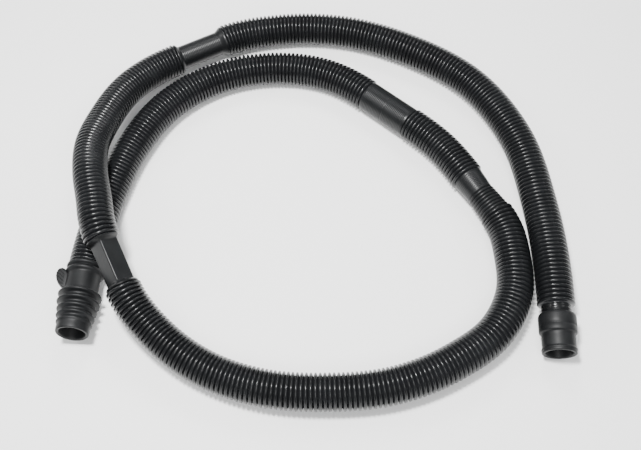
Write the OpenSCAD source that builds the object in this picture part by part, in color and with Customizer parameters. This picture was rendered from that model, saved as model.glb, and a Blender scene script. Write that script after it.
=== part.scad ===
// Corrugated suction and drain hose with a finned rubber inlet boot, four moulded-in cuffs and a
// rubber outlet cuff, lying in a loose double loop that crosses over itself once.
// Millimetres. +Z is up and Z = 0 is the floor. The origin is midway between the two end fittings.

/* [Hose] */
// Outside diameter over the corrugations
hose_od = 37; // [34:0.5:37]
// Outside diameter of the smooth hose ends that go into the two fittings
hose_end_od = 28.5; // [28:0.5:30]
// Inside diameter of the smooth hose ends
hose_end_bore = 25.5; // [24:0.5:26]
// How far each smooth hose end reaches into its fitting
hose_end_grip = 18; // [12:1:18]
// Length of smooth hose that shows between the last ring and the outlet cuff
outlet_neck = 9; // [6:1:9]

/* [Cuffs in the hose] */
// Outside diameter of the plain cuff, which is as thick as the hose
plain_cuff_od = 34; // [30:0.5:36]
// Outside diameter of the taper cuff at its thick end
taper_cuff_od = 33; // [30:0.5:34]
// Outside diameter of the taper cuff where it is thinnest
taper_cuff_thin_od = 29; // [27:0.5:30]
// Outside diameter of the waist cuff
waist_cuff_od = 27.5; // [26:0.5:29]
// Width across the flats of the square cuff
square_across = 20.5; // [18:0.5:24]
// Corner radius of the square cuff
square_corner = 1.5; // [1:0.5:4]
// Thickness of the round shoulder at each end of a cuff
shoulder = 2.5; // [2:0.5:4]

/* [Inlet boot] */
// Outside diameter of the collar at the hose end
collar_od = 38.4; // [37:0.2:40]
// Outside diameter of the neck between the collar and the fins
neck_od = 33; // [32.6:0.2:34]
// Outside diameter of the first and largest fin
fin_od = 44; // [42:0.5:44]
// Outside diameter of the spout
spout_od = 33.4; // [32:0.2:34]
// Inside diameter of the inlet mouth
inlet_bore = 26; // [24:0.5:26]
// Reach of the grip tab from the axis of the boot
tab_reach = 28; // [26:0.5:29]
// Thickness of the grip tab
tab_thick = 6; // [4:0.5:7]

/* [Outlet cuff] */
// Outside diameter of the body of the outlet cuff
outlet_od = 36.8; // [35:0.2:36.8]
// Outside diameter of the nozzle
nozzle_od = 32.8; // [32:0.2:34]
// Outside diameter of the lip around the mouth
lip_od = 34; // [33.6:0.2:35]
// Inside diameter of the outlet mouth
outlet_bore = 26; // [24:0.5:26]

/* [Hidden] */

round_fn = 72;
hose_sides = 12;
rest = 18.5;

// The boot points out of its mouth along this heading. It rests on its first fin.
boot_at = [-231, 47, 20.3];
boot_yaw = -93.5;
boot_pitch = 3.5;
boot_len = 69;

// The outlet cuff leans down on the front edge of its body and its lip.
outlet_at = [241, -7, 19.8];
outlet_yaw = -93.6;
outlet_pitch = -4;
outlet_len = 40;
outlet_step_at = 20;

// The line of the hose from the boot to the outlet neck. Cuffs are the straights between two points.
route = [boot_at, [-225.5, 98, rest], [-214, 151, rest], [-196, 203.5, rest],
         [-162, 258, rest], [-109, 296, rest], [-45, 310, rest], [17.5, 300, rest],
         [67.5, 267.5, rest], [113, 227, rest], [145, 194, rest], [170, 154, rest],
         [195, 109, rest], [202.5, 90, rest], [206, 61, rest], [203, 18, rest],
         [182, -21, rest], [139, -52.5, rest], [79, -76, rest], [14, -82, rest],
         [-51, -76, rest], [-110.5, -53, 20], [-152, -22, 26], [-185.5, 20.5, 40],
         [-208.5, 68.5, 53], [-215.5, 88, 57], [-220.5, 111, 57.5], [-229, 146.5, 56],
         [-233.5, 186, 48], [-227.5, 225, 38], [-201.5, 288, 24], [-154.5, 327, rest],
         [-99.5, 354, rest], [-33, 369, rest], [41, 364.5, rest], [117, 334.5, rest],
         [185.5, 282.5, rest], [227.5, 207, rest], [242, 119, rest],
         outlet_at - outlet_neck * heading(outlet_yaw, outlet_pitch)];
plain_from = 8;
taper_from = 11;
square_from = 23;
waist_from = 31;
cuff_starts = [plain_from, taper_from, square_from, waist_from];
last = len(route) - 1;

// Turn of the square cuff about its own axis.
square_roll = -52.4;

// Fins of the boot: distance from the collar face, and how much smaller each is than the first.
fins = [[28, 0], [36.5, 0.6], [44.5, 3.6], [51.5, 5], [58.5, 8.2]];
fin_width = 5;
fin_crest = 2.6;
fin_depth = 1.7;
fin_root = 15.5;
collar_len = 8.5;
collar_groove_at = 4.2;
collar_groove = 1.2;
fin_back = 25.5;
spout_from = 62;
edge = 1.5;
tab_up = 12;
tab_outline = [[15.8, 1.5], [19.5, 1], [21, -0.4], [tab_reach - 4.5, -1],
               [tab_reach - 2.5, -0.5], [tab_reach - 0.7, 2], [tab_reach, 6],
               [tab_reach - 1, 10.5], [tab_reach - 4, 15], [tab_reach - 8, 19], [17.5, 22],
               [15.8, 22]];

function heading(yaw, pitch) = [cos(yaw) * cos(pitch), sin(yaw) * cos(pitch), sin(pitch)];

function unit(v) = v / norm(v);

function is_cuff(i) = len([for (c = cuff_starts) if (c == i) c]) > 0;

// Direction through a free point, weighted so that three points on an arc give the arc's own.
function through(a, b, c) = unit(unit(b - a) * norm(c - b) + unit(c - b) * norm(b - a));

function level(v, z) = z == rest ? unit([v.x, v.y, 0]) : v;

function tangent(i) =
    i == 0 ? -heading(boot_yaw, boot_pitch)
    : i == last ? heading(outlet_yaw, outlet_pitch)
    : is_cuff(i) ? unit(route[i + 1] - route[i])
    : is_cuff(i - 1) ? unit(route[i] - route[i - 1])
    : level(through(route[i - 1], route[i], route[i + 1]), route[i].z);

// A point on the curve, s = 0 at route point i and s = 1 at the next.
function on_curve(i, s) =
    let (span = norm(route[i + 1] - route[i]))
    (2 * s ^ 3 - 3 * s ^ 2 + 1) * route[i]
    + (s ^ 3 - 2 * s ^ 2 + s) * span * tangent(i)
    + (3 * s ^ 2 - 2 * s ^ 3) * route[i + 1]
    + (s ^ 3 - s ^ 2) * span * tangent(i + 1);

function slope(i, s) =
    let (span = norm(route[i + 1] - route[i]))
    unit((6 * s ^ 2 - 6 * s) * (route[i] - route[i + 1])
         + (3 * s ^ 2 - 4 * s + 1) * span * tangent(i)
         + (3 * s ^ 2 - 2 * s) * span * tangent(i + 1));

// One ring of the hose skin square to the curve, with a corner straight down.
function ring(i, s, r) =
    let (t = slope(i, s), side = unit(cross(t, [0, 0, 1])), up = cross(side, t))
    [for (k = [0:hose_sides - 1])
        on_curve(i, s) + r * (cos(k * 360 / hose_sides) * side + sin(k * 360 / hose_sides) * up)];

// Ring places from one route point to another: every point and the middle of every span.
function stations(from, to) =
    concat([for (i = [from:to - 1]) for (s = [0, 0.5]) [i, s]], [[to - 1, 1]]);

// A solid length of hose swept along the route.
module hose_run(from, to) {
    places = stations(from, to);
    count = len(places);
    n = hose_sides;
    skin = [for (p = places) each ring(p[0], p[1], hose_od / 2)];
    walls = [for (j = [0:count - 2]) for (k = [0:n - 1]) each
                let (a = j * n + k, b = j * n + (k + 1) % n, c = a + n, d = b + n)
                [[a, b, d], [a, d, c]]];
    start_cap = [for (k = [0:n - 1]) n - 1 - k];
    end_cap = [for (k = [0:n - 1]) (count - 1) * n + k];
    polyhedron(points = skin, faces = concat([start_cap], walls, [end_cap]));
}

// Puts something drawn up the Z axis along a heading.
module aim(at, yaw, pitch) {
    translate(at)
        rotate([0, 90 - pitch, yaw])
            children();
}

// Puts something drawn up the Z axis on the straight between two route points.
module on_cuff(i) {
    d = route[i + 1] - route[i];
    aim(route[i], atan2(d.y, d.x), asin(d.z / norm(d)))
        children();
}

function cuff_len(i) = norm(route[i + 1] - route[i]);

// A cuff: two round shoulders and whatever is between them.
module shoulders(i) {
    for (z = [0, cuff_len(i) - shoulder])
        translate([0, 0, z])
            cylinder(h = shoulder, d = hose_od - 0.5, $fn = round_fn);
}

module plain_cuff() {
    color("#1c1d1f")
        on_cuff(plain_from)
            cylinder(h = cuff_len(plain_from), d = plain_cuff_od, $fn = round_fn);
}

module taper_cuff() {
    color("#1c1d1f")
        on_cuff(taper_from) {
            shoulders(taper_from);
            cylinder(h = cuff_len(taper_from), d1 = taper_cuff_od, d2 = taper_cuff_thin_od,
                     $fn = round_fn);
        }
}

module waist_cuff() {
    color("#1c1d1f")
        on_cuff(waist_from) {
            shoulders(waist_from);
            cylinder(h = cuff_len(waist_from), d = waist_cuff_od, $fn = round_fn);
        }
}

module rounded_square(across, corner) {
    inner = across - 2 * corner;
    square([across, inner], center = true);
    square([inner, across], center = true);
    for (x = [-1, 1])
        for (y = [-1, 1])
            translate([x * inner / 2, y * inner / 2])
                circle(r = corner, $fn = round_fn);
}

module square_cuff() {
    color("#1c1d1f")
        on_cuff(square_from) {
            shoulders(square_from);
            rotate([0, 0, square_roll])
                linear_extrude(height = cuff_len(square_from))
                    rounded_square(square_across, square_corner);
        }
}

module smooth_end(length) {
    difference() {
        cylinder(h = length, d = hose_end_od, $fn = round_fn);
        translate([0, 0, -1])
            cylinder(h = length + 2, d = hose_end_bore, $fn = round_fn);
    }
}

module hose_inlet_end() {
    color("#151618")
        aim(boot_at, boot_yaw, boot_pitch)
            smooth_end(hose_end_grip);
}

module hose_outlet_end() {
    color("#151618")
        aim(route[last], outlet_yaw, outlet_pitch)
            smooth_end(outlet_neck + hose_end_grip);
}

// The passage through a fitting: a socket for the hose end, then the bore of the mouth.
module passage(length, bore) {
    translate([0, 0, -1])
        cylinder(h = hose_end_grip + 1, d = hose_end_od, $fn = round_fn);
    cylinder(h = length + 1, d = bore, $fn = round_fn);
}

module fin(at, r) {
    rotate_extrude($fn = round_fn)
        polygon([[fin_root, at - fin_width / 2],
                 [r - fin_depth, at - fin_width / 2],
                 [r, at - fin_crest / 2],
                 [r, at + fin_crest / 2],
                 [r - fin_depth, at + fin_width / 2],
                 [fin_root, at + fin_width / 2]]);
}

module boot_core() {
    collar = collar_od / 2;
    neck = neck_od / 2;
    first = fin_od / 2 - fin_depth;
    spout = spout_od / 2;
    rotate_extrude($fn = round_fn)
        polygon([[0, 0], [collar - edge, 0], [collar, edge],
                 [collar, collar_groove_at - collar_groove],
                 [collar - collar_groove, collar_groove_at],
                 [collar, collar_groove_at + collar_groove],
                 [collar, collar_len - edge], [collar - edge, collar_len],
                 [neck, collar_len + edge], [neck, fin_back],
                 [first, fin_back], [first - 0.6, fins[1][0]],
                 [first - 4.5, fins[3][0]], [spout, spout_from],
                 [spout, boot_len - edge], [spout - edge / 2, boot_len], [0, boot_len]]);
}

module grip_tab() {
    rotate([0, 0, 270 - tab_up])
        rotate([90, 0, 0])
            translate([0, 0, -tab_thick / 2])
                linear_extrude(height = tab_thick)
                    polygon(tab_outline);
}

module inlet_boot() {
    color("#26272a")
        aim(boot_at, boot_yaw, boot_pitch)
            difference() {
                union() {
                    boot_core();
                    for (f = fins)
                        fin(f[0], fin_od / 2 - f[1] / 2);
                    grip_tab();
                }
                passage(boot_len, inlet_bore);
            }
}

module outlet_cuff() {
    body = outlet_od / 2;
    nozzle = nozzle_od / 2;
    lip = lip_od / 2;
    color("#26272a")
        aim(outlet_at, outlet_yaw, outlet_pitch)
            difference() {
                rotate_extrude($fn = round_fn)
                    polygon([[0, 0], [body - 2, 0], [body - 0.5, 0.8], [body, 2.5],
                             [body, outlet_step_at - 1], [body - 0.5, outlet_step_at],
                             [nozzle, outlet_step_at + edge], [nozzle, outlet_len - 6],
                             [lip, outlet_len - 4.5], [lip, outlet_len - edge],
                             [lip - 1, outlet_len], [0, outlet_len]]);
                passage(outlet_len, outlet_bore);
            }
}

module hose_run_1() {
    color("#101113")
        hose_run(0, plain_from);
}

module hose_run_2() {
    color("#101113")
        hose_run(plain_from + 1, taper_from);
}

module hose_run_3() {
    color("#101113")
        hose_run(taper_from + 1, square_from);
}

module hose_run_4() {
    color("#101113")
        hose_run(square_from + 1, waist_from);
}

module hose_run_5() {
    color("#101113")
        hose_run(waist_from + 1, last);
}

inlet_boot();
hose_inlet_end();
hose_run_1();
plain_cuff();
hose_run_2();
taper_cuff();
hose_run_3();
square_cuff();
hose_run_4();
waist_cuff();
hose_run_5();
hose_outlet_end();
outlet_cuff();
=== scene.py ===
"""Corrugated drain hose in a loose double loop, with a finned inlet boot and an outlet cuff."""

import math

import bmesh
import bpy
from bpy.props import FloatProperty, IntProperty, PointerProperty, StringProperty
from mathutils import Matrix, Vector


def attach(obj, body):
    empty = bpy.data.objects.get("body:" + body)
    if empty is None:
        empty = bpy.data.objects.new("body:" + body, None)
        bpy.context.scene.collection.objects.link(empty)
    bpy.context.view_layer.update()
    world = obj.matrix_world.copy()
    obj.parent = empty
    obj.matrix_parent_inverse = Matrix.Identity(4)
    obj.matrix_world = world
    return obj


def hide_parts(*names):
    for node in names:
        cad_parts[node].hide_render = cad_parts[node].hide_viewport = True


bl_info = {
    "name": "Corrugated drain hose",
    "version": (1, 0, 0),
    "blender": (4, 5, 0),
    "location": "3D View > Sidebar > Drain hose",
    "description": "Builds a corrugated drain hose with its cuffs and end fittings",
    "category": "Add Mesh",
}

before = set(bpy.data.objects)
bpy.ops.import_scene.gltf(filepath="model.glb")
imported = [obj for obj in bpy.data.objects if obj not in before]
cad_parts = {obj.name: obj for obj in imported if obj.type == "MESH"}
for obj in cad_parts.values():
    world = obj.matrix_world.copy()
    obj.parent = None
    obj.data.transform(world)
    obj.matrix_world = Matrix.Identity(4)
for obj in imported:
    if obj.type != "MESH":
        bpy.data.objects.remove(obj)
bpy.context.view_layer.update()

MM = 0.001

# ---------------------------------------------------------------------------
# Where things are. The route and the two fittings repeat the CAD, in metres.
# ---------------------------------------------------------------------------

REST = 0.0185
BOOT_AT = Vector((-0.231, 0.047, 0.0203))
BOOT_YAW = -93.5
BOOT_PITCH = 3.5
OUTLET_AT = Vector((0.241, -0.007, 0.0198))
OUTLET_YAW = -93.6
OUTLET_PITCH = -4
OUTLET_NECK = 0.009
END_GRIP = 0.018

PLAIN_FROM = 8
TAPER_FROM = 11
SQUARE_FROM = 23
WAIST_FROM = 31
CUFFS = (PLAIN_FROM, TAPER_FROM, SQUARE_FROM, WAIST_FROM)
SQUARE_ROLL = -52.4


def heading(yaw, pitch):
    """Unit vector along a compass angle and a climb, in degrees."""
    a, e = math.radians(yaw), math.radians(pitch)
    return Vector((math.cos(a) * math.cos(e), math.sin(a) * math.cos(e), math.sin(e)))


ROUTE = [Vector(p) for p in (
    BOOT_AT, (-0.2255, 0.098, REST), (-0.214, 0.151, REST), (-0.196, 0.2035, REST),
    (-0.162, 0.258, REST), (-0.109, 0.296, REST), (-0.045, 0.310, REST),
    (0.0175, 0.300, REST), (0.0675, 0.2675, REST), (0.113, 0.227, REST),
    (0.145, 0.194, REST), (0.170, 0.154, REST), (0.195, 0.109, REST),
    (0.2025, 0.090, REST), (0.206, 0.061, REST), (0.203, 0.018, REST),
    (0.182, -0.021, REST), (0.139, -0.0525, REST), (0.079, -0.076, REST),
    (0.014, -0.082, REST), (-0.051, -0.076, REST), (-0.1105, -0.053, 0.020),
    (-0.152, -0.022, 0.026), (-0.1855, 0.0205, 0.040), (-0.2085, 0.0685, 0.053),
    (-0.2155, 0.088, 0.057), (-0.2205, 0.111, 0.0575), (-0.229, 0.1465, 0.056),
    (-0.2335, 0.186, 0.048), (-0.2275, 0.225, 0.038), (-0.2015, 0.288, 0.024),
    (-0.1545, 0.327, REST), (-0.0995, 0.354, REST), (-0.033, 0.369, REST),
    (0.041, 0.3645, REST), (0.117, 0.3345, REST), (0.1855, 0.2825, REST),
    (0.2275, 0.207, REST), (0.242, 0.119, REST),
    OUTLET_AT - OUTLET_NECK * heading(OUTLET_YAW, OUTLET_PITCH),
)]
LAST = len(ROUTE) - 1


def through(a, b, c):
    """Direction of the curve at b, weighted so that three points on an arc give the arc's own."""
    near, far = b - a, c - b
    return (near.normalized() * far.length + far.normalized() * near.length).normalized()


def tangent(i):
    """Direction of the hose at route point i. It is level where the hose lies on the floor."""
    if i == 0:
        return -heading(BOOT_YAW, BOOT_PITCH)
    if i == LAST:
        return heading(OUTLET_YAW, OUTLET_PITCH)
    if i in CUFFS:
        return (ROUTE[i + 1] - ROUTE[i]).normalized()
    if i - 1 in CUFFS:
        return (ROUTE[i] - ROUTE[i - 1]).normalized()
    t = through(ROUTE[i - 1], ROUTE[i], ROUTE[i + 1])
    if abs(ROUTE[i].z - REST) < 1e-6:
        t.z = 0
    return t.normalized()


TANGENTS = [tangent(i) for i in range(len(ROUTE))]


def on_curve(i, s):
    """Point and direction on the span from route point i to the next, s from 0 to 1."""
    p, q = ROUTE[i], ROUTE[i + 1]
    u, v = TANGENTS[i], TANGENTS[i + 1]
    span = (q - p).length
    point = (
        (2 * s**3 - 3 * s**2 + 1) * p
        + (s**3 - 2 * s**2 + s) * span * u
        + (3 * s**2 - 2 * s**3) * q
        + (s**3 - s**2) * span * v
    )
    way = (
        (6 * s**2 - 6 * s) * (p - q)
        + (3 * s**2 - 4 * s + 1) * span * u
        + (3 * s**2 - 2 * s) * span * v
    )
    return point, way.normalized()


class Stretch:
    """A stretch of the route that can be asked for a point at a distance along it."""

    STEPS = 24

    def __init__(self, first, last):
        self.marks = []
        run, before = 0.0, on_curve(first, 0)[0]
        for i in range(first, last):
            for k in range(self.STEPS + 1):
                here = on_curve(i, k / self.STEPS)[0]
                run += (here - before).length
                self.marks.append((run, i, k / self.STEPS))
                before = here
        self.length = run

    def at(self, distance):
        """Point and direction at a distance from the start of the stretch."""
        marks = self.marks
        low, high = 0, len(marks) - 1
        while high - low > 1:
            middle = (low + high) // 2
            if marks[middle][0] <= distance:
                low = middle
            else:
                high = middle
        (a, i, s), (b, j, t) = marks[low], marks[high]
        if i != j:
            return on_curve(j, t)
        part = 0 if b == a else (distance - a) / (b - a)
        return on_curve(i, s + (t - s) * part)


# ---------------------------------------------------------------------------
# What a user would change.
# ---------------------------------------------------------------------------


class HoseSizes(bpy.types.PropertyGroup):
    """Sizes of the corrugated hose."""

    crest_radius: FloatProperty(
        name="Crest radius", description="Radius over the rings",
        default=0.0185, unit="LENGTH")
    valley_radius: FloatProperty(
        name="Valley radius", description="Radius between the rings",
        default=0.0147, unit="LENGTH")
    bore_radius: FloatProperty(
        name="Bore radius", description="Radius of the inside of the hose",
        default=0.0136, unit="LENGTH")
    pitch: FloatProperty(
        name="Ring spacing", description="Distance from one ring to the next",
        default=0.0045, unit="LENGTH")
    corners: IntProperty(
        name="Corners", description="Corners round the hose", default=32)


class CuffSizes(bpy.types.PropertyGroup):
    """Sizes of the four smooth cuffs in the hose."""

    plain_radius: FloatProperty(
        name="Plain cuff radius", description="Radius of the plain cuff",
        default=0.0170, unit="LENGTH")
    taper_thick: FloatProperty(
        name="Taper cuff, thick end", description="Radius at its thick end",
        default=0.0165, unit="LENGTH")
    taper_thin: FloatProperty(
        name="Taper cuff, thin part", description="Radius where it is thinnest",
        default=0.0146, unit="LENGTH")
    waist_radius: FloatProperty(
        name="Waist cuff radius", description="Radius of the waist cuff",
        default=0.01375, unit="LENGTH")
    square_across: FloatProperty(
        name="Square cuff", description="Width across the flats of the square cuff",
        default=0.0205, unit="LENGTH")
    square_corner: FloatProperty(
        name="Square cuff corner", description="Corner radius of the square cuff",
        default=0.0013, unit="LENGTH")
    rib_pitch: FloatProperty(
        name="Fine rib spacing", description="Distance between the fine ribs of a cuff",
        default=0.0020, unit="LENGTH")
    rib_depth: FloatProperty(
        name="Fine rib depth", description="Depth of the groove between two fine ribs",
        default=0.0004, unit="LENGTH")


class FittingSizes(bpy.types.PropertyGroup):
    """Sizes of the inlet boot and the outlet cuff."""

    mouth_radius: FloatProperty(
        name="Mouth radius", description="Radius of both open mouths",
        default=0.013, unit="LENGTH")
    tab_thick: FloatProperty(
        name="Grip tab thickness", description="Thickness of the grip tab on the boot",
        default=0.006, unit="LENGTH")


class Finishes(bpy.types.PropertyGroup):
    """Colours, as sRGB hex values."""

    hose_black: StringProperty(
        name="Hose black", description="Blow-moulded polyethylene of the hose",
        default="#141516")
    cuff_black: StringProperty(
        name="Cuff black", description="The same polyethylene where it is smooth",
        default="#121314")
    rubber_black: StringProperty(
        name="Rubber black", description="Moulded rubber of the two fittings",
        default="#111213")


class StageSizes(bpy.types.PropertyGroup):
    """Size of the floor."""

    floor_side: FloatProperty(
        name="Floor side", description="Length of one side of the floor",
        default=8.0, unit="LENGTH")


GROUPS = {
    "hose": HoseSizes,
    "cuff": CuffSizes,
    "fitting": FittingSizes,
    "finish": Finishes,
    "stage": StageSizes,
}


def settings(name):
    """One of the groups of sizes or finishes, by its key in GROUPS."""
    return getattr(bpy.context.scene, "drain_" + name)


# ---------------------------------------------------------------------------
# Materials.
# ---------------------------------------------------------------------------


def linear(value):
    """One sRGB channel from 0 to 1, as linear light."""
    return value / 12.92 if value <= 0.04045 else ((value + 0.055) / 1.055) ** 2.4


def colour(text):
    """A linear colour from a hex sRGB string."""
    return (*[linear(int(text[k:k + 2], 16) / 255) for k in (1, 3, 5)], 1.0)


def grey(value):
    """A linear grey, for masks and roughness."""
    return (value, value, value, 1.0)


def node(tree, kind, links=(), stops=(), **values):
    """Adds a shader node. Values go to its settings or inputs, links are (input, output), and
    stops are the (position, colour) pairs of a ramp."""
    made = tree.nodes.new(kind)
    for key, value in values.items():
        if hasattr(made, key):
            setattr(made, key, value)
        else:
            made.inputs[key.replace("_", " ")].default_value = value
    for name, output in links:
        tree.links.new(output, made.inputs[name])
    for k, (position, value) in enumerate(stops):
        band = made.color_ramp.elements
        element = band[k] if k < len(band) else band.new(position)
        element.position, element.color = position, value
    return made


def new_material(name, base, roughness, ior=1.5, specular=0.5):
    """A material with a Principled shader set to plain numbers."""
    material = bpy.data.materials.new(name)
    material.use_nodes = True
    shader = material.node_tree.nodes["Principled BSDF"]
    shader.inputs["Base Color"].default_value = base
    shader.inputs["Roughness"].default_value = roughness
    shader.inputs["IOR"].default_value = ior
    shader.inputs["Specular IOR Level"].default_value = specular
    return material, material.node_tree, shader


# The sockets of a Mix node that is set to colour.
MIX_A, MIX_B, MIX_RESULT = 6, 7, 2


def polyethylene_hose():
    """Blow-moulded black polyethylene: a thin waxy skin with a crisp shine on every crest, valleys
    painted lighter, partly dust and partly painted light against their shade, and cloudy handling
    marks along its length."""
    base = colour(settings("finish").hose_black)
    material, tree, shader = new_material("polyethylene_blow_moulded", base, 0.26, ior=1.42,
                                          specular=0.4)
    place = node(tree, "ShaderNodeTexCoord").outputs["Object"]
    height = node(tree, "ShaderNodeAttribute", attribute_name="ring_height").outputs["Fac"]
    # Handling marks, about 25 mm across.
    cloud = node(tree, "ShaderNodeTexNoise", links=[("Vector", place)],
                 Scale=40.0, Detail=5.0, Roughness=0.6).outputs["Fac"]
    # Moulding grain, drawn at 1.2 mm where the real one is 0.2 mm, so that it shows.
    grain = node(tree, "ShaderNodeTexNoise", links=[("Vector", place)],
                 Scale=800.0, Detail=2.0, Roughness=0.5).outputs["Fac"]
    # Valleys painted lighter than the crests: part dust, and part painted light that offsets the
    # shade deep in the valleys.
    valley_dust_and_painted_light = node(tree, "ShaderNodeValToRGB", links=[("Fac", height)], stops=[
        (0.0, colour("#2c2d2f")), (0.4, colour("#202123")), (1.0, base)])
    rubbed = node(tree, "ShaderNodeValToRGB", links=[("Fac", cloud)], stops=[
        (0.3, grey(0.62)), (0.7, grey(1.0))])
    tone = node(tree, "ShaderNodeMix", data_type="RGBA", blend_type="MULTIPLY", Factor=1.0,
                links=[(MIX_A, valley_dust_and_painted_light.outputs["Color"]), (MIX_B, rubbed.outputs["Color"])])
    tree.links.new(tone.outputs[MIX_RESULT], shader.inputs["Base Color"])
    worn = node(tree, "ShaderNodeValToRGB", links=[("Fac", cloud)], stops=[
        (0.3, grey(0.18)), (0.7, grey(0.30))])
    tree.links.new(worn.outputs["Color"], shader.inputs["Roughness"])
    bump = node(tree, "ShaderNodeBump", links=[("Height", grain)], Strength=0.08, Distance=0.0002)
    tree.links.new(bump.outputs["Normal"], shader.inputs["Normal"])
    return material


def polyethylene_cuff():
    """The same polyethylene where the mould was smooth: flatter, with a satin shine that the
    fine ribs break up, and cloudy from handling."""
    base = colour(settings("finish").cuff_black)
    material, tree, shader = new_material("polyethylene_smooth", base, 0.34, ior=1.45,
                                          specular=0.35)
    place = node(tree, "ShaderNodeTexCoord").outputs["Object"]
    # Handling marks, about 17 mm across.
    cloud = node(tree, "ShaderNodeTexNoise", links=[("Vector", place)],
                 Scale=60.0, Detail=5.0, Roughness=0.6).outputs["Fac"]
    # Moulding grain, drawn at 1.1 mm where the real one is 0.2 mm, so that it shows.
    grain = node(tree, "ShaderNodeTexNoise", links=[("Vector", place)],
                 Scale=900.0, Detail=2.0, Roughness=0.5).outputs["Fac"]
    tone = node(tree, "ShaderNodeValToRGB", links=[("Fac", cloud)], stops=[
        (0.3, colour("#0e0f10")), (0.6, base), (0.8, colour("#18191b"))])
    tree.links.new(tone.outputs["Color"], shader.inputs["Base Color"])
    worn = node(tree, "ShaderNodeValToRGB", links=[("Fac", cloud)], stops=[
        (0.3, grey(0.30)), (0.7, grey(0.38))])
    tree.links.new(worn.outputs["Color"], shader.inputs["Roughness"])
    bump = node(tree, "ShaderNodeBump", links=[("Height", grain)], Strength=0.12, Distance=0.0002)
    tree.links.new(bump.outputs["Normal"], shader.inputs["Normal"])
    return material


def moulded_rubber():
    """Soft black rubber from a compression mould: a dry, matt skin with a slight grey bloom, a
    fine pebble from the mould, and no sharp highlight anywhere."""
    base = colour(settings("finish").rubber_black)
    material, tree, shader = new_material("rubber_moulded", base, 0.55, ior=1.45, specular=0.3)
    place = node(tree, "ShaderNodeTexCoord").outputs["Object"]
    # Bloom in patches about 12 mm across.
    bloom = node(tree, "ShaderNodeTexNoise", links=[("Vector", place)],
                 Scale=85.0, Detail=6.0, Roughness=0.62).outputs["Fac"]
    # Mould pebble, drawn at 0.8 mm, twice its real size, so that it shows.
    pebble = node(tree, "ShaderNodeTexNoise", links=[("Vector", place)],
                  Scale=1250.0, Detail=2.0, Roughness=0.5).outputs["Fac"]
    tone = node(tree, "ShaderNodeValToRGB", links=[("Fac", bloom)], stops=[
        (0.3, colour("#0c0d0e")), (0.55, base), (0.8, colour("#18191b"))])
    tree.links.new(tone.outputs["Color"], shader.inputs["Base Color"])
    worn = node(tree, "ShaderNodeValToRGB", links=[("Fac", bloom)], stops=[
        (0.3, grey(0.42)), (0.7, grey(0.56))])
    tree.links.new(worn.outputs["Color"], shader.inputs["Roughness"])
    bump = node(tree, "ShaderNodeBump", links=[("Height", pebble)], Strength=0.2, Distance=0.0002)
    tree.links.new(bump.outputs["Normal"], shader.inputs["Normal"])
    return material


def stage_paint():
    """Plain pale floor paper, matt."""
    return new_material("floor_paper", colour("#fdfdfc"), 0.85, specular=0.2)[0]


# ---------------------------------------------------------------------------
# Modelling helpers.
# ---------------------------------------------------------------------------


def clear_selection():
    """Leaves edit mode and selects nothing."""
    if bpy.context.object and bpy.context.object.mode != "OBJECT":
        bpy.ops.object.mode_set(mode="OBJECT")
    bpy.ops.object.select_all(action="DESELECT")


def only(obj):
    """Selects one object and makes it the active one."""
    clear_selection()
    obj.select_set(True)
    bpy.context.view_layer.objects.active = obj


def turned(name, rows, corners=64):
    """A turned shape: a circle extruded row by row, and closed on itself. Rows are (z, radius)
    in metres, up the outside and back down the bore."""
    clear_selection()
    z, r = rows[0]
    bpy.ops.mesh.primitive_circle_add(vertices=corners, radius=r, location=(0, 0, z))
    obj = bpy.context.object
    obj.name = obj.data.name = name
    bpy.ops.object.transform_apply(location=True, rotation=True, scale=True)
    bpy.ops.object.mode_set(mode="EDIT")
    bpy.ops.mesh.select_all(action="SELECT")
    for z_next, r_next in [*rows[1:], rows[0]]:
        bpy.ops.mesh.extrude_region_move(
            TRANSFORM_OT_translate={"value": (0, 0, z_next - z)})
        if r_next != r:
            grow = r_next / r
            bpy.ops.transform.resize(value=(grow, grow, 1), center_override=(0, 0, z_next))
        z, r = z_next, r_next
    bpy.ops.mesh.select_all(action="SELECT")
    bpy.ops.mesh.remove_doubles(threshold=1e-6)
    bpy.ops.mesh.normals_make_consistent(inside=False)
    bpy.ops.object.mode_set(mode="OBJECT")
    return obj


def smooth(obj, angle=40):
    """Shades a piece smooth, and keeps edges sharper than an angle in degrees."""
    only(obj)
    bpy.ops.object.shade_smooth_by_angle(angle=math.radians(angle))


def aim(obj, at, yaw, pitch):
    """Turns a piece drawn up the Z axis to a heading, moves it, and applies both."""
    only(obj)
    obj.rotation_euler = (0, math.radians(90 - pitch), math.radians(yaw))
    obj.location = at
    bpy.ops.object.transform_apply(location=True, rotation=True, scale=True)


def aim_on_cuff(obj, i):
    """Puts a piece drawn up the Z axis on the straight that starts at route point i."""
    way = ROUTE[i + 1] - ROUTE[i]
    yaw = math.degrees(math.atan2(way.y, way.x))
    pitch = math.degrees(math.asin(way.z / way.length))
    aim(obj, ROUTE[i], yaw, pitch)


def finish_piece(obj, material, nodes):
    """Gives a piece its material and body, and hides the CAD nodes that it stands for."""
    obj.data.materials.clear()
    obj.data.materials.append(material)
    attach(obj, "root")
    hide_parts(*nodes)


# ---------------------------------------------------------------------------
# Operators: the stage first, then the hose, then what is on it.
# ---------------------------------------------------------------------------


CAMERA_PLACE = (0.01222, -0.34561, 0.81815)
CAMERA_TURN = (29.98, 2.059, -0.038)
CAMERA_SENSOR, CAMERA_LENS = 36, 48.93
CAMERA_SHIFT = (0.0408, -0.0211)
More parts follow.
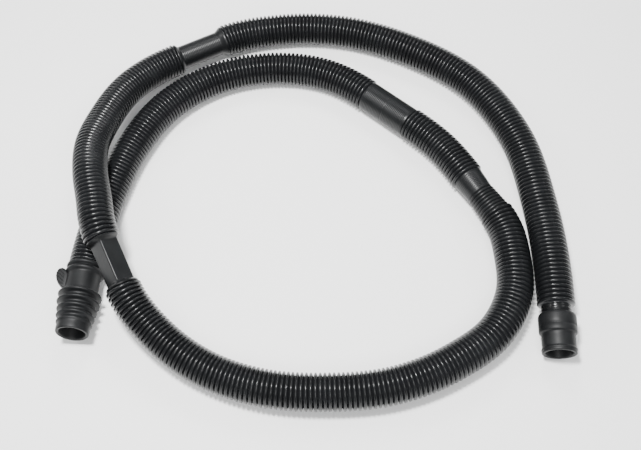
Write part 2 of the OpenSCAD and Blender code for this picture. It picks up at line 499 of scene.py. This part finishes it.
# Each lamp: its name, place, side in metres, power in watts and tint.
LAMPS = (
    ("ceiling", (-0.22, 0.05, 1.30), 0.20, 38, (1.0, 1.0, 1.0)),
    ("back", (0.05, 1.05, 1.05), 0.40, 6, (1.0, 1.0, 1.0)),
    ("front", (0.15, -0.75, 1.10), 0.60, 10, (1.0, 1.0, 1.0)),
    ("left", (-1.10, 0.40, 0.95), 0.40, 4, (1.0, 0.995, 0.98)),
    ("right", (1.05, 0.55, 1.00), 0.40, 3, (0.98, 0.99, 1.0)),
)
LAMPS_AIM_AT = Vector((0.0, 0.14, 0.0))
FLOOR_HEIGHT = -0.0002
ROOM_TINT, ROOM_STRENGTH = (0.95, 0.97, 1.0, 1.0), 0.48


class DRAIN_OT_stage(bpy.types.Operator):
    """Adds the camera, the soft lights and a plain pale floor"""

    bl_idname = "drain.stage"
    bl_label = "Camera, lights and floor"

    def execute(self, context):
        scene = context.scene
        camera = bpy.data.objects.new("camera", bpy.data.cameras.new("camera"))
        camera.location = CAMERA_PLACE
        camera.rotation_euler = [math.radians(a) for a in CAMERA_TURN]
        camera.data.sensor_width = CAMERA_SENSOR
        camera.data.lens = CAMERA_LENS
        camera.data.shift_x, camera.data.shift_y = CAMERA_SHIFT
        scene.collection.objects.link(camera)
        scene.camera = camera

        for name, place, side, power, tint in LAMPS:
            lamp = bpy.data.lights.new(name, "AREA")
            lamp.shape = "SQUARE"
            lamp.size = side
            lamp.energy = power
            lamp.color = tint
            light = bpy.data.objects.new(name, lamp)
            light.location = place
            way = LAMPS_AIM_AT - Vector(place)
            light.rotation_euler = way.to_track_quat("-Z", "Y").to_euler()
            scene.collection.objects.link(light)

        world = bpy.data.worlds.new("soft_room")
        world.use_nodes = True
        background = world.node_tree.nodes["Background"]
        background.inputs["Color"].default_value = ROOM_TINT
        background.inputs["Strength"].default_value = ROOM_STRENGTH
        scene.world = world

        clear_selection()
        bpy.ops.mesh.primitive_plane_add(size=settings("stage").floor_side,
                                         location=(0, 0, FLOOR_HEIGHT))
        floor = context.object
        floor.name = "floor"
        floor.data.materials.append(stage_paint())
        return {"FINISHED"}


# How a ring swells over one pitch: part of the pitch, part of the way from valley to crest.
RING = ((0.0, 0.0), (0.13, 0.46), (0.33, 0.97), (0.67, 0.97), (0.87, 0.46))
# The hose runs on inside each cuff as a thin wall, with these outside and inside radii. It is
# narrower inside the square cuff, and starts this far in from each end of a cuff.
CUFF_WALL, CUFF_BORE = 0.0126, 0.0120
SQUARE_WALL, SQUARE_BORE = 0.0092, 0.0086
WALL_INSET = 0.0008
# The bore has a row about this often, and stops this far short of each end of a stretch.
BORE_STEP, BORE_GAP = 0.012, 0.001
# The boot's collar covers this much of the hose before the first ring.
UNDER_COLLAR = 0.0067
# The smooth ends that go into the fittings, and the two faint beads that show by the outlet.
END_RADIUS = 0.01415
END_BORE = 0.0127
BEADS = ((0.0010, 0.0), (0.0018, 0.0006), (0.0030, 0.0006), (0.0040, 0.0), (0.0048, 0.0006),
         (0.0060, 0.0006), (0.0070, 0.0))


def skin_rows():
    """Rows of the hose skin from the boot to the outlet: (point, direction, radius, height)."""
    sizes = settings("hose")
    crest, valley = sizes.crest_radius, sizes.valley_radius
    boot_way, outlet_way = heading(BOOT_YAW, BOOT_PITCH), heading(OUTLET_YAW, OUTLET_PITCH)
    rows = [(BOOT_AT + boot_way * END_GRIP, -boot_way, END_RADIUS, 0.0),
            (BOOT_AT + boot_way * 0.002, -boot_way, END_RADIUS, 0.0)]
    starts = [0, *[i + 1 for i in CUFFS]]
    ends = [*CUFFS, LAST]
    for number, (first, last) in enumerate(zip(starts, ends)):
        stretch = Stretch(first, last)
        covered = 0.0 if first else UNDER_COLLAR
        rings = round((stretch.length - covered) / sizes.pitch)
        pitch = (stretch.length - covered) / rings
        for k in range(rings):
            for part, swell in RING:
                point, way = stretch.at(covered + (k + part) * pitch)
                rows.append((point, way, valley + (crest - valley) * swell, swell))
        point, way = on_curve(last - 1, 1)
        rows.append((point, way, valley, 0.0))
        if number < len(CUFFS):
            along = (ROUTE[last + 1] - ROUTE[last]).normalized()
            wall = SQUARE_WALL if last == SQUARE_FROM else CUFF_WALL
            rows.append((ROUTE[last] + along * WALL_INSET, along, wall, 0.0))
            rows.append((ROUTE[last + 1] - along * WALL_INSET, along, wall, 0.0))
    end = ROUTE[LAST]
    for along, swell in BEADS:
        rows.append((end + outlet_way * along, outlet_way, END_RADIUS + swell, 1.0))
    rows.append((OUTLET_AT + outlet_way * END_GRIP, outlet_way, END_RADIUS, 0.0))
    return rows


def bore_rows():
    """Rows of the inside wall, from the outlet back to the boot."""
    sizes = settings("hose")
    boot_way, outlet_way = heading(BOOT_YAW, BOOT_PITCH), heading(OUTLET_YAW, OUTLET_PITCH)
    rows = [(OUTLET_AT + outlet_way * END_GRIP, outlet_way, END_BORE, 0.0),
            (ROUTE[LAST], outlet_way, END_BORE, 0.0)]
    starts = [0, *[i + 1 for i in CUFFS]]
    ends = [*CUFFS, LAST]
    for first, last in reversed(list(zip(starts, ends))):
        stretch = Stretch(first, last)
        steps = max(4, round(stretch.length / BORE_STEP))
        for k in range(steps, -1, -1):
            gap = BORE_GAP if k in (0, steps) else 0.0
            along = min(max(stretch.length * k / steps, gap), stretch.length - gap)
            point, way = stretch.at(along)
            rows.append((point, way, sizes.bore_radius, 0.0))
        if first:
            bore = SQUARE_BORE if first - 1 == SQUARE_FROM else CUFF_BORE
            for i in (first, first - 1):
                point, way = on_curve(first - 1, i - first + 1)
                rows.append((point, way, bore, 0.0))
    rows.append((BOOT_AT + boot_way * END_GRIP, -boot_way, END_BORE, 0.0))
    return rows


class DRAIN_OT_hose(bpy.types.Operator):
    """Sweeps the corrugated hose along its route, ring by ring, as one closed wall"""

    bl_idname = "drain.hose"
    bl_label = "Corrugated hose"

    def execute(self, context):
        corners = settings("hose").corners
        rows = skin_rows() + bore_rows()
        mesh = bmesh.new()
        shine = mesh.verts.layers.float.new("ring_height")
        loops = []
        for point, way, radius, height in rows:
            side = way.cross(Vector((0, 0, 1))).normalized()
            up = side.cross(way)
            loop = []
            for k in range(corners):
                a = 2 * math.pi * k / corners
                vert = mesh.verts.new(point + radius * (math.cos(a) * side + math.sin(a) * up))
                vert[shine] = height
                loop.append(vert)
            loops.append(loop)
        for near, far in zip(loops, [*loops[1:], loops[0]]):
            for k in range(corners):
                n = (k + 1) % corners
                mesh.faces.new((near[k], near[n], far[n], far[k]))
        bmesh.ops.recalc_face_normals(mesh, faces=mesh.faces)
        data = bpy.data.meshes.new("corrugated_hose")
        mesh.to_mesh(data)
        mesh.free()
        hose = bpy.data.objects.new("corrugated_hose", data)
        context.scene.collection.objects.link(hose)
        smooth(hose, 80)
        finish_piece(hose, polyethylene_hose(),
                     ["hose_inlet_end", "hose_run_1", "hose_run_2", "hose_run_3", "hose_run_4",
                      "hose_run_5", "hose_outlet_end"])
        return {"FINISHED"}


def ribs(start, stop, radius_at, pitch, depth):
    """Rows of fine ribs from one height to another over a changing radius."""
    count = max(1, round((stop - start) / pitch))
    rows = []
    for k in range(count):
        for part, cut in ((0.0, 1.0), (0.3, 0.15), (0.5, 0.0), (0.7, 0.15)):
            z = start + (stop - start) * (k + part) / count
            rows.append((z, radius_at(z) - depth * cut))
    rows.append((stop, radius_at(stop) - depth))
    return rows


def lined(rows, bore):
    """Closes a turned outside with a plain bore."""
    return [*rows, (rows[-1][0], bore), (rows[0][0], bore)]


CUFF_INSIDE = 0.0128
# Radius of a cuff's edge where it meets the hose.
CUFF_EDGE, WAIST_EDGE = 0.0150, 0.0155
# The taper cuff: how much of it is the fine-ribbed cone, and the rings on the rest of it.
CONE_SHARE = 0.46
TAPER_RING_PITCH, TAPER_RING_DEPTH = 0.0036, 0.0019


class DRAIN_OT_round_cuffs(bpy.types.Operator):
    """Turns the three round cuffs: the plain one, the tapered one and the waisted one"""

    bl_idname = "drain.round_cuffs"
    bl_label = "Round cuffs"

    def execute(self, context):
        sizes = settings("cuff")
        plastic = polyethylene_cuff()

        pitch, depth = sizes.rib_pitch, sizes.rib_depth

        length = (ROUTE[PLAIN_FROM + 1] - ROUTE[PLAIN_FROM]).length
        r = sizes.plain_radius
        middle = length * 0.5
        rows = [(0.0, CUFF_EDGE), (0.0005, r - 0.0008), (0.0014, r - 0.0001)]
        rows += ribs(0.0026, middle - 0.0006, lambda z: r, pitch, depth)
        rows += [(middle, r - 0.0007)]
        rows += ribs(middle + 0.0006, length - 0.0026, lambda z: r, pitch, depth)
        rows += [(length - 0.0014, r - 0.0001), (length - 0.0005, r - 0.0008),
                 (length, CUFF_EDGE)]
        plain = turned("smooth_cuff_plain", lined(rows, CUFF_INSIDE))
        smooth(plain, 60)
        aim_on_cuff(plain, PLAIN_FROM)
        finish_piece(plain, plastic, ["plain_cuff"])

        length = (ROUTE[TAPER_FROM + 1] - ROUTE[TAPER_FROM]).length
        thick, thin = sizes.taper_thick, sizes.taper_thin
        narrow = length * CONE_SHARE
        crest = settings("hose").crest_radius

        def cone(z):
            return thick + (thin - thick) * z / narrow

        def growing(z):
            return thin + 0.0005 + (crest - 0.0022 - thin) * (z - narrow) / (length - narrow)

        rows = [(0.0, CUFF_EDGE), (0.0006, thick - 0.0003), (0.0016, thick)]
        rows += ribs(0.0028, narrow, cone, pitch, depth)
        rows += ribs(narrow + 0.001, length - 0.0006, growing, TAPER_RING_PITCH,
                     TAPER_RING_DEPTH)
        rows += [(length, CUFF_EDGE)]
        taper = turned("smooth_cuff_taper", lined(rows, CUFF_INSIDE))
        smooth(taper, 60)
        aim_on_cuff(taper, TAPER_FROM)
        finish_piece(taper, plastic, ["taper_cuff"])

        length = (ROUTE[WAIST_FROM + 1] - ROUTE[WAIST_FROM]).length
        r = sizes.waist_radius
        rows = [(0.0, WAIST_EDGE), (0.0006, 0.0172), (0.0018, 0.0174), (0.0030, 0.0164),
                (0.0044, r + 0.0004), (0.0054, r)]
        rows += ribs(0.0064, length - 0.0092, lambda z: r, pitch, depth)
        rows += [(length - 0.0082, r), (length - 0.0072, r + 0.0003), (length - 0.0034, 0.0163),
                 (length - 0.0018, 0.0174), (length - 0.0006, 0.0172),
                 (length, WAIST_EDGE)]
        waist = turned("smooth_cuff_waist", lined(rows, CUFF_INSIDE))
        smooth(waist, 60)
        aim_on_cuff(waist, WAIST_FROM)
        finish_piece(waist, plastic, ["waist_cuff"])
        return {"FINISHED"}


# The square cuff from its end to where it is fully square, in metres: (distance, radius, how
# far the round has turned into the square).
SQUARE_END = ((0.0, 0.0150, 0.0), (0.0006, 0.0164, 0.0), (0.0016, 0.0168, 0.0),
              (0.0026, 0.0164, 0.08), (0.0036, 0.0158, 0.35), (0.0046, 0.0152, 0.7),
              (0.0058, 0.0147, 0.92), (0.0072, 0.0145, 1.0))
SQUARE_INSIDE = 0.0094
SQUARE_CORNERS = 144


def square_outline(angle, half, corner):
    """Distance from the axis to a rounded square's side, at an angle from the middle of a flat."""
    a = (angle + math.pi / 4) % (math.pi / 2) - math.pi / 4
    flat = half / math.cos(a)
    if abs(flat * math.sin(a)) <= half - corner:
        return flat
    middle = (half - corner) * math.sqrt(2)
    off = math.pi / 4 - abs(a)
    return middle * math.cos(off) + math.sqrt(corner**2 - (middle * math.sin(off))**2)


class DRAIN_OT_square_cuff(bpy.types.Operator):
    """Turns the square cuff with a round shoulder at each end and squares it between them"""

    bl_idname = "drain.square_cuff"
    bl_label = "Square cuff"

    def execute(self, context):
        sizes = settings("cuff")
        half, corner = sizes.square_across / 2, sizes.square_corner
        length = (ROUTE[SQUARE_FROM + 1] - ROUTE[SQUARE_FROM]).length
        rows = [*SQUARE_END, *[(length - z, r, share) for z, r, share in reversed(SQUARE_END)]]
        cuff = turned("smooth_cuff_square", lined([row[:2] for row in rows], SQUARE_INSIDE),
                      SQUARE_CORNERS)
        for vert in cuff.data.vertices:
            out = math.hypot(vert.co.x, vert.co.y)
            share = min(rows, key=lambda row: abs(row[0] - vert.co.z))[2]
            if share and out > SQUARE_INSIDE + 0.0005:
                angle = math.atan2(vert.co.y, vert.co.x) - math.radians(SQUARE_ROLL)
                grow = 1 + share * (square_outline(angle, half, corner) / out - 1)
                vert.co.x *= grow
                vert.co.y *= grow
        smooth(cuff, 30)
        aim_on_cuff(cuff, SQUARE_FROM)
        finish_piece(cuff, polyethylene_cuff(), ["square_cuff"])
        return {"FINISHED"}


# The boot's outside from the back of its collar to the mouth, in millimetres: (distance, radius).
BOOT_OUTSIDE = (
    (-6.5, 14.6), (-6.5, 17.6), (-6.2, 18.8), (-5.6, 19.4), (-4.6, 19.6), (-3.6, 19.4),
    (-2.9, 18.6), (-2.2, 17.2), (-1.6, 16.8), (-1.0, 17.2), (-0.2, 18.8), (0.6, 19.5),
    (1.8, 19.7), (3.0, 19.5), (3.8, 18.7), (4.6, 17.5), (5.4, 17.0), (6.5, 16.9),
    (16.0, 17.0), (22.5, 17.1), (24.4, 17.2),
    (25.6, 17.6), (26.2, 19.4), (26.6, 21.0), (27.2, 21.8), (28.0, 22.0), (28.8, 21.8),
    (29.5, 20.9), (30.2, 19.0), (31.0, 18.0), (32.2, 17.7), (33.4, 18.0), (34.2, 19.1),
    (34.9, 20.8), (35.6, 21.5), (36.4, 21.7), (37.2, 21.4), (37.9, 20.4), (38.6, 18.5),
    (39.4, 17.5), (40.4, 17.2), (41.5, 17.5), (42.2, 18.3), (42.9, 19.6), (43.7, 20.1),
    (44.5, 20.2), (45.3, 19.9), (46.0, 18.9), (46.7, 17.5), (47.5, 16.8), (48.4, 16.7),
    (49.2, 17.1), (49.9, 18.3), (50.7, 19.1), (51.5, 19.3), (52.3, 19.0), (53.0, 18.0),
    (53.7, 16.9), (54.5, 16.4), (55.4, 16.4), (56.4, 16.8), (57.2, 17.5), (58.0, 17.9),
    (58.8, 17.9), (59.6, 17.5), (60.4, 16.9), (61.6, 16.7), (64.0, 16.7), (67.2, 16.6),
    (68.3, 16.4), (68.9, 15.9), (69.0, 15.3),
)
# The outlet cuff's outside from its back face to the mouth, in millimetres.
OUTLET_OUTSIDE = (
    (0.0, 14.6), (0.0, 16.0), (0.4, 16.9), (1.3, 17.7), (2.6, 18.2), (4.0, 18.4), (9.0, 18.4),
    (12.6, 18.4), (13.0, 18.1), (13.4, 18.1), (13.8, 18.35), (18.6, 18.3), (19.4, 18.1),
    (20.0, 17.5), (20.5, 16.7), (21.4, 16.4), (24.0, 16.4), (33.6, 16.3), (34.4, 16.2),
    (34.9, 16.5), (35.5, 17.0), (36.4, 17.1), (37.2, 16.9), (37.8, 16.6), (38.6, 16.7),
    (39.3, 16.6), (39.8, 16.1), (40.0, 15.4),
)


BOOT_LENGTH, OUTLET_LENGTH = 0.069, 0.040
FITTING_CORNERS = 96
# Radius of the socket that takes the smooth end of the hose.
SOCKET = 0.0144


def fitting_rows(outside, length, mouth):
    """A fitting's rows in metres: the outside, then the mouth, bore and hose socket."""
    rows = [(z * MM, r * MM) for z, r in outside]
    rows += [(length - 0.0004, mouth + 0.0008), (length - 0.0014, mouth),
             (END_GRIP + 0.0012, mouth), (END_GRIP + 0.0002, SOCKET)]
    return rows


# Outline of the grip tab in millimetres: (distance from the axis, distance along it).
TAB = ((15.5, 1.5), (19.0, 1.0), (20.8, -0.4), (23.0, -1.0), (25.4, -0.4), (27.1, 1.8),
       (28.0, 5.2), (27.8, 8.8), (26.6, 12.4), (24.4, 15.8), (21.6, 18.8), (19.0, 20.8),
       (17.0, 21.8), (15.5, 22.2))
# How far the tab is turned up, in degrees, and how far its edges are softened.
TAB_UP = 12
TAB_SOFTEN = 0.0011
# The grooves on each side of the tab: their lean in degrees, number and spacing, where the
# first one is along the boot, their depth and width, and how far from the axis they run.
KNURL_LEAN = 38
KNURL_COUNT = 7
KNURL_PITCH = 0.0036
KNURL_START = 0.001
KNURL_DEPTH = 0.0013
KNURL_WIDTH = 0.0016
KNURL_FROM, KNURL_TO = 0.0190, 0.0270


class DRAIN_OT_inlet_boot(bpy.types.Operator):
    """Turns the finned inlet boot and joins its grooved grip tab to it"""

    bl_idname = "drain.inlet_boot"
    bl_label = "Inlet boot"

    def knurl(self, tab, half):
        """Cuts slanting grooves into both sides of the tab."""
        for side in (-1, 1):
            clear_selection()
            bars = []
            for k in range(KNURL_COUNT):
                bpy.ops.mesh.primitive_cube_add(size=1, location=(
                    (KNURL_FROM + KNURL_TO) / 2, side * half, KNURL_START + k * KNURL_PITCH))
                bar = bpy.context.object
                bar.scale = (KNURL_TO - KNURL_FROM, 2 * KNURL_DEPTH, KNURL_WIDTH)
                bar.rotation_euler = (0, math.radians(KNURL_LEAN), 0)
                bars.append(bar)
            clear_selection()
            for bar in bars:
                bar.select_set(True)
            bpy.context.view_layer.objects.active = bars[0]
            bpy.ops.object.transform_apply(location=True, rotation=True, scale=True)
            bpy.ops.object.join()
            cutter = bpy.context.object
            only(tab)
            cut = tab.modifiers.new("knurl", "BOOLEAN")
            cut.operation = "DIFFERENCE"
            cut.solver = "EXACT"
            cut.object = cutter
            bpy.ops.object.modifier_apply(modifier="knurl")
            bpy.data.objects.remove(cutter)

    def execute(self, context):
        sizes = settings("fitting")
        rows = fitting_rows(BOOT_OUTSIDE, BOOT_LENGTH, sizes.mouth_radius)
        boot = turned("rubber_inlet_boot", rows, FITTING_CORNERS)

        clear_selection()
        half = sizes.tab_thick / 2
        bpy.ops.mesh.primitive_circle_add(vertices=len(TAB), radius=0.01, fill_type="NGON")
        tab = context.object
        tab.name = "grip_tab"
        for vert, (out, along) in zip(tab.data.vertices, TAB):
            vert.co = (out * MM, -half, along * MM)
        bpy.ops.object.mode_set(mode="EDIT")
        bpy.ops.mesh.select_all(action="SELECT")
        bpy.ops.mesh.extrude_region_move(
            TRANSFORM_OT_translate={"value": (0, 2 * half, 0)})
        bpy.ops.mesh.select_all(action="SELECT")
        bpy.ops.mesh.normals_make_consistent(inside=False)
        bpy.ops.object.mode_set(mode="OBJECT")
        soften = tab.modifiers.new("soften", "BEVEL")
        soften.width = TAB_SOFTEN
        soften.segments = 3
        soften.angle_limit = math.radians(50)
        bpy.ops.object.modifier_apply(modifier="soften")
        self.knurl(tab, half)
        tab.rotation_euler = (0, 0, math.radians(270 - TAB_UP))
        bpy.ops.object.transform_apply(location=True, rotation=True, scale=True)

        only(boot)
        join = boot.modifiers.new("join", "BOOLEAN")
        join.operation = "UNION"
        join.solver = "EXACT"
        join.object = tab
        bpy.ops.object.modifier_apply(modifier="join")
        bpy.data.objects.remove(tab)
        smooth(boot, 40)
        aim(boot, BOOT_AT, BOOT_YAW, BOOT_PITCH)
        finish_piece(boot, moulded_rubber(), ["inlet_boot"])
        return {"FINISHED"}


class DRAIN_OT_outlet_cuff(bpy.types.Operator):
    """Turns the plain rubber outlet cuff with its step and lip"""

    bl_idname = "drain.outlet_cuff"
    bl_label = "Outlet cuff"

    def execute(self, context):
        mouth = settings("fitting").mouth_radius
        rows = fitting_rows(OUTLET_OUTSIDE, OUTLET_LENGTH, mouth)
        cuff = turned("rubber_outlet_cuff", rows, FITTING_CORNERS)
        smooth(cuff, 40)
        aim(cuff, OUTLET_AT, OUTLET_YAW, OUTLET_PITCH)
        finish_piece(cuff, moulded_rubber(), ["outlet_cuff"])
        return {"FINISHED"}


class DRAIN_OT_declare_hose(bpy.types.Operator):
    """Works out the hose's length along its line, end grip to end grip, and its thickness over the
    rings, and keeps neither
    """

    bl_idname = "drain.declare_hose"
    bl_label = "Declare the hose"

    def execute(self, context):
        path, length = [], 0.0
        for i in range(LAST):
            for k in range(6):
                path.append(on_curve(i, k / 6)[0])
        path.append(ROUTE[LAST])
        path.append(OUTLET_AT + heading(OUTLET_YAW, OUTLET_PITCH) * END_GRIP)
        path.insert(0, BOOT_AT + heading(BOOT_YAW, BOOT_PITCH) * END_GRIP)
        for a, b in zip(path, path[1:]):
            length += (b - a).length
        2 * settings("hose").crest_radius
        return {"FINISHED"}


class DRAIN_PT_panel(bpy.types.Panel):
    """Lists the steps that build the hose"""

    bl_label = "Drain hose"
    bl_idname = "DRAIN_PT_panel"
    bl_space_type = "VIEW_3D"
    bl_region_type = "UI"
    bl_category = "Drain hose"

    def draw(self, context):
        for step in STEPS:
            self.layout.operator(step.bl_idname)


STEPS = (
    DRAIN_OT_stage,
    DRAIN_OT_hose,
    DRAIN_OT_round_cuffs,
    DRAIN_OT_square_cuff,
    DRAIN_OT_inlet_boot,
    DRAIN_OT_outlet_cuff,
    DRAIN_OT_declare_hose,
)
CLASSES = (*GROUPS.values(), *STEPS, DRAIN_PT_panel)


def register():
    for item in CLASSES:
        bpy.utils.register_class(item)
    for name, group in GROUPS.items():
        setattr(bpy.types.Scene, "drain_" + name, PointerProperty(type=group))


def unregister():
    for name in GROUPS:
        delattr(bpy.types.Scene, "drain_" + name)
    for item in reversed(CLASSES):
        bpy.utils.unregister_class(item)


def main():
    register()
    bpy.ops.drain.stage()
    bpy.ops.drain.hose()
    bpy.ops.drain.round_cuffs()
    bpy.ops.drain.square_cuff()
    bpy.ops.drain.inlet_boot()
    bpy.ops.drain.outlet_cuff()
    bpy.ops.drain.declare_hose()


if __name__ == "__main__":
    main()
